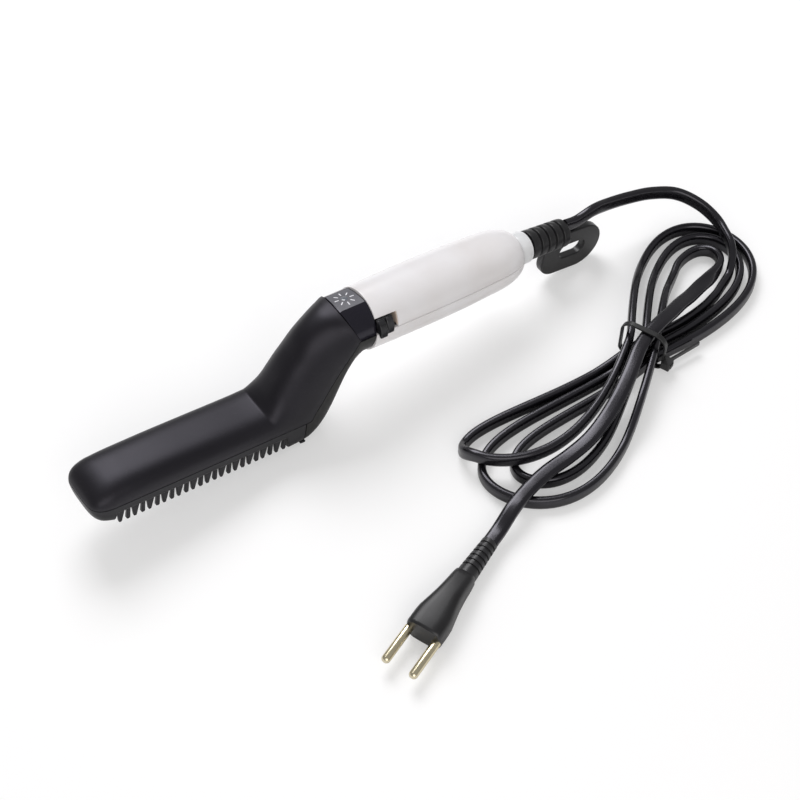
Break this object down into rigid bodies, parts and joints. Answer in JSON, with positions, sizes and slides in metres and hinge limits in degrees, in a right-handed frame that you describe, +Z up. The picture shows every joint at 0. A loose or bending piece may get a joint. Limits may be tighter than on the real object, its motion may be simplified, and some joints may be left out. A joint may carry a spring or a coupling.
{
  "type": "electric hair comb",
  "caption": "Heated hair comb with an offset toothed head, round handle, slide switch, indicator lens, hang loop and a flat mains cord tied in a hank.",
  "frame": {"origin": "middle of the underside of the comb without its cord, on the floor it lies on", "axes": "+X along the handle towards the cord end, +Y across the comb away from the switch side, +Z up"},
  "size_m": [0.3461, 0.158, 0.064],
  "materials": {
    "head_plastic": "fine matte moulded black",
    "frame_plastic": "matte moulded black",
    "collar_plastic": "glossy black",
    "lens_plastic": "clear smoky lens",
    "led_epoxy": "red epoxy",
    "pearl_plastic": "pearl white gloss",
    "ring_plastic": "pale translucent grey",
    "knob_plastic": "satin black",
    "guard_rubber": "satin black",
    "cord_jacket": "smooth black jacket with soft sheen",
    "tie_nylon": "black nylon",
    "plate_aluminium": "bead blasted",
    "steel": "zinc plated",
    "pin_brass": "nickel flashed brass",
    "stone_ceramic": "dull grey ceramic",
    "film": "amber film",
    "board_laminate": "green solder mask",
    "wire_red": "silicone insulation",
    "wire_white": "silicone insulation",
    "part_dark": "moulded component",
    "part_red": "dipped component",
    "part_pale": "painted ceramic body",
    "fuse_case": "tinned case"
  },
  "bodies": {
    "comb": {"head_upper_shell": "head_plastic", "neck_lower_cover": "head_plastic", "neck_screw": "steel", "comb_frame": "frame_plastic", "heater_plate": "plate_aluminium", "heating_stone_1": "stone_ceramic", "heating_stone_2": "stone_ceramic", "heating_stone_3": "stone_ceramic", "insulation_sheet": "film", "retainer_plate": "steel", "heater_screw_1": "steel", "heater_screw_2": "steel", "thermal_fuse": "fuse_case", "heater_lead_live": "wire_red", "heater_lead_neutral": "wire_white", "indicator_collar": "collar_plastic", "indicator_lens": "lens_plastic", "indicator_led": "led_epoxy", "handle_upper_shell": "pearl_plastic", "handle_lower_shell": "pearl_plastic", "case_screw": "steel", "tail_ring": "ring_plastic", "switch_body": "part_dark", "circuit_board": "board_laminate", "board_screw_1": "steel", "board_screw_2": "steel", "dropper_capacitor": "part_red", "rectifier_diode": "part_dark", "dropper_resistor": "part_pale", "cord_clamp": "part_dark", "clamp_screw_1": "steel", "clamp_screw_2": "steel", "inner_cord": "cord_jacket", "supply_wire_live": "wire_red", "supply_wire_neutral": "wire_white", "cord_guard": "guard_rubber", "cord_hank": "cord_jacket", "cord_lead": "cord_jacket", "cord_tail": "cord_jacket", "plug_body": "guard_rubber", "plug_pin_1": "pin_brass", "plug_pin_2": "pin_brass", "plug_relief": "guard_rubber", "cable_tie": "tie_nylon"},
    "knob": {"switch_knob": "knob_plastic"}
  },
  "joints": [
    {"name": "switch_slide", "type": "slide", "parent": "comb", "child": "knob", "axis": [0.9889, 0, -0.1484], "range_m": [0, 0.0024]}
  ]
}
